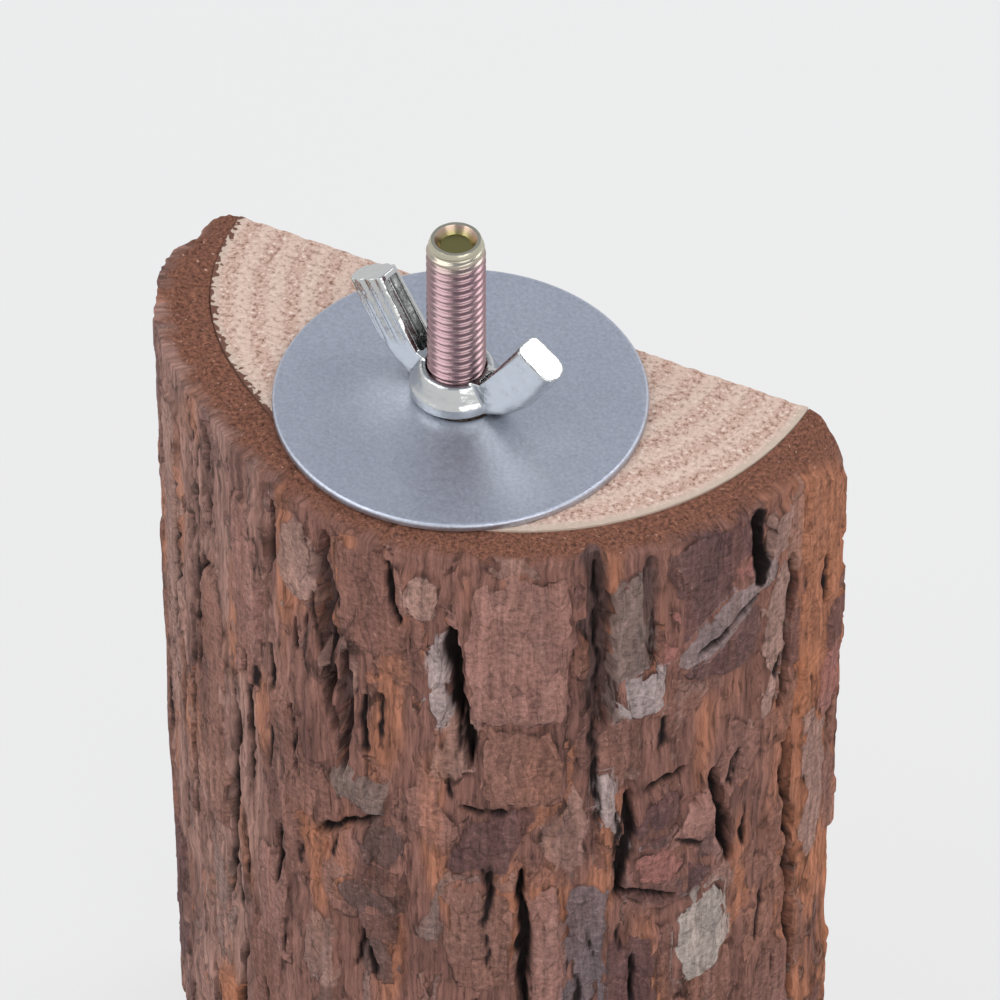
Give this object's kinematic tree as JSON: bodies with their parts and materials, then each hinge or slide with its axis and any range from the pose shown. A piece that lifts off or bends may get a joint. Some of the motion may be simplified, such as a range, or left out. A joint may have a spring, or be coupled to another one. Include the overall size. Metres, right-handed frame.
{
  "type": "bird perch",
  "caption": "Half-log bird perch with rough bark, a sawn flat side and a threaded stud, wide washer and wing nut on one sawn end for clamping it to cage bars.",
  "frame": {"origin": "where the stud's axis crosses the sawn end of the log that the washer sits on, which is the plane the cage bars are clamped against", "axes": "+Z along the stud and out of the log, +Y out of the sawn flat side, +X along the width of the flat side"},
  "size_m": [0.0987, 0.0547, 0.178],
  "materials": {
    "sawn_wood": "rough-sawn softwood, unsealed",
    "bark": "natural fibrous conifer bark, matt",
    "yellow_zinc": "rolled steel with yellow passivated zinc plate",
    "washer_zinc": "stamped steel with satin zinc plate",
    "nut_zinc": "formed steel with bright zinc plate"
  },
  "bodies": {
    "perch": {"log_core": "sawn_wood", "bark": "bark", "hanger_bolt": "yellow_zinc"},
    "washer": {"washer": "washer_zinc"},
    "wing_nut": {"wing_nut": "nut_zinc"}
  },
  "joints": [
    {"name": "washer_travel", "type": "slide", "parent": "perch", "child": "washer", "axis": [0, 0, 1], "range_m": [0, 0.03]},
    {"name": "nut_spin", "type": "hinge", "parent": "washer", "child": "wing_nut", "pos_m": [0, 0, 0.0011], "axis": [0, 0, 1], "range_deg": [0, 8640]}
  ],
  "couplings": [
    {"joint": "nut_spin", "follows": "washer_travel", "rad_per_m": 5026.5}
  ]
}
